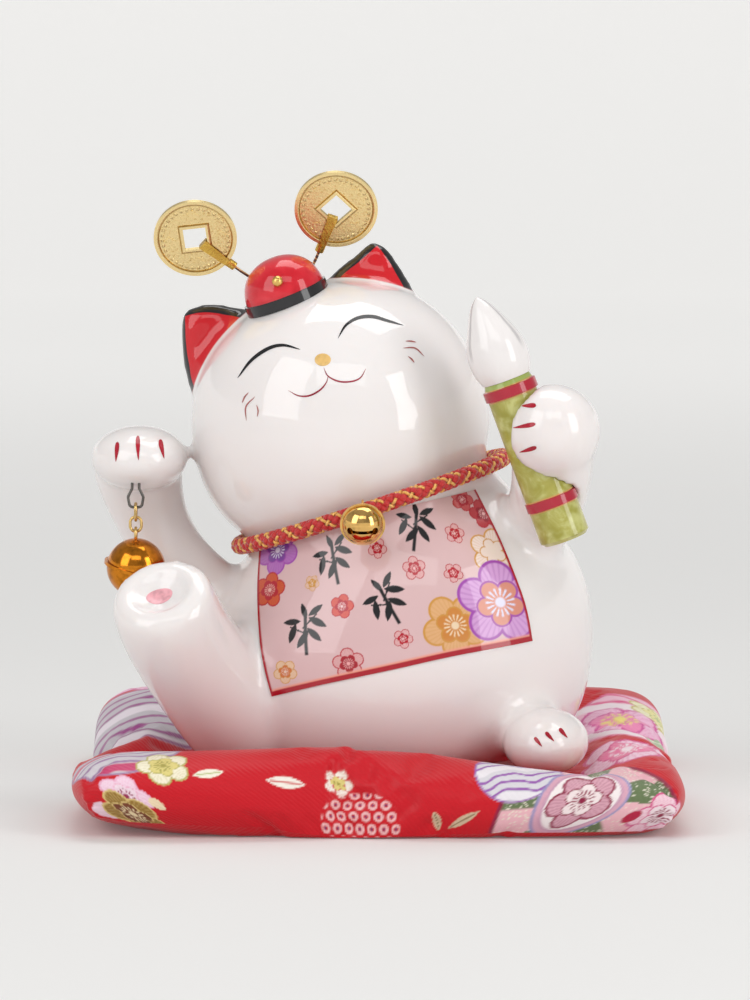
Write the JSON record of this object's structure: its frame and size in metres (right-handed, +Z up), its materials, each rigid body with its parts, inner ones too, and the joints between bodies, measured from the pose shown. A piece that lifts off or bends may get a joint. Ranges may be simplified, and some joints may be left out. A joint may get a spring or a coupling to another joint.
{
  "type": "lucky cat figurine",
  "caption": "Reclining glazed lucky-cat coin bank with raised paw, brush, collar and jingle bells, and sprung coins, resting on a stuffed square cushion.",
  "frame": {"origin": "centre of the cushion's underside", "axes": "+Z up, the cat faces -Y, +X towards the paw that holds the brush"},
  "size_m": [0.172, 0.172, 0.1812],
  "materials": {
    "white_glaze": "gloss",
    "red_glaze": "gloss",
    "black_glaze": "gloss",
    "green_glaze": "gloss",
    "gold_enamel": "gloss",
    "pink_enamel": "gloss",
    "bib_print": "gloss",
    "rubber_white": "matt",
    "cord_red": "braided",
    "cord_gold": "metallic thread",
    "bell_brass": "polished",
    "bell_amber": "polished",
    "steel_wire": "bright",
    "coin_gold": "satin",
    "clip_gold": "bright",
    "cushion_print": "printed cotton",
    "cushion_fill": "fibre wadding"
  },
  "bodies": {
    "cushion": {"cushion_top_cover": "cushion_print", "cushion_bottom_cover": "cushion_print", "cushion_filling": "cushion_fill"},
    "cat": {"body_casting": "white_glaze", "head_casting": "white_glaze", "right_arm_casting": "white_glaze", "left_arm_casting": "white_glaze", "cap_casting": "red_glaze", "cap_stud": "gold_enamel", "brush_handle": "green_glaze", "brush_head": "white_glaze", "collar_cord": "cord_red", "paw_eye": "steel_wire"},
    "stopper": {"base_stopper": "rubber_white"},
    "link_1": {"chain_link_1": "steel_wire"},
    "link_2": {"chain_link_2": "steel_wire"},
    "hand_bell": {"hand_bell_shank": "steel_wire", "hand_bell_upper": "bell_amber", "hand_bell_lower": "bell_amber"},
    "hand_bell_pea": {"hand_bell_pea": "steel_wire"},
    "collar_bell": {"collar_bell_shank": "bell_brass", "collar_bell_upper": "bell_brass", "collar_bell_lower": "bell_brass"},
    "collar_bell_pea": {"collar_bell_pea": "steel_wire"},
    "left_wire": {"left_coin_wire": "steel_wire"},
    "left_coin": {"left_coin_clip": "clip_gold", "left_coin": "coin_gold"},
    "right_wire": {"right_coin_wire": "steel_wire"},
    "right_coin": {"right_coin_clip": "clip_gold", "right_coin": "coin_gold"}
  },
  "joints": [
    {"name": "cat_lift", "type": "slide", "parent": "cushion", "child": "cat", "axis": [0, 0, 1], "range_m": [0, 0.08]},
    {"name": "stopper_pull", "type": "slide", "parent": "cat", "child": "stopper", "axis": [0, 0, -1], "range_m": [0, 0.02]},
    {"name": "link_1_swing", "type": "hinge", "parent": "cat", "child": "link_1", "pos_m": [-0.0695, -0.0205, 0.0865], "axis": [1, 0, 0], "range_deg": [-10, 10]},
    {"name": "link_2_swing", "type": "hinge", "parent": "link_1", "child": "link_2", "pos_m": [-0.0695, -0.0205, 0.08271], "axis": [0, 1, 0], "range_deg": [-15, 15]},
    {"name": "hand_bell_swing", "type": "hinge", "parent": "link_2", "child": "hand_bell", "pos_m": [-0.0695, -0.0205, 0.07953], "axis": [1, 0, 0], "range_deg": [-12, 12]},
    {"name": "hand_bell_pea_roll", "type": "hinge", "parent": "hand_bell", "child": "hand_bell_pea", "pos_m": [-0.0695, -0.0205, 0.06869], "axis": [0, 1, 0], "range_deg": [-35, 35]},
    {"name": "collar_bell_swing", "type": "hinge", "parent": "cat", "child": "collar_bell", "pos_m": [-0.00468, -0.03936, 0.0867], "axis": [-1, 0, 0], "range_deg": [0, 45]},
    {"name": "collar_bell_pea_roll", "type": "hinge", "parent": "collar_bell", "child": "collar_bell_pea", "pos_m": [-0.00468, -0.04754, 0.08389], "axis": [0, 1, 0], "range_deg": [-35, 35]},
    {"name": "left_wire_sway", "type": "hinge", "parent": "cat", "child": "left_wire", "pos_m": [-0.02823, 0.01234, 0.14369], "axis": [0, 1, 0], "range_deg": [-8, 8], "stiffness_Nm_per_rad": 0.02, "springref_deg": 2.45},
    {"name": "left_coin_nod", "type": "hinge", "parent": "left_wire", "child": "left_coin", "pos_m": [-0.04197, 0.0069, 0.15329], "axis": [0.6361, -0.3138, 0.7049], "range_deg": [-12, 12], "stiffness_Nm_per_rad": 0.02, "springref_deg": -0.56},
    {"name": "right_wire_sway", "type": "hinge", "parent": "cat", "child": "right_wire", "pos_m": [-0.02281, 0.01234, 0.14577], "axis": [0, 1, 0], "range_deg": [-8, 2.5], "stiffness_Nm_per_rad": 0.02, "springref_deg": -1.03},
    {"name": "right_coin_nod", "type": "hinge", "parent": "right_wire", "child": "right_coin", "pos_m": [-0.01729, 0.00867, 0.15772], "axis": [0.9397, 0.1391, -0.3125], "range_deg": [-12, 12], "stiffness_Nm_per_rad": 0.02, "springref_deg": -0.56}
  ],
  "couplings": [
    {"joint": "stopper_pull", "follows": "cat_lift", "ratio": 0.25}
  ]
}
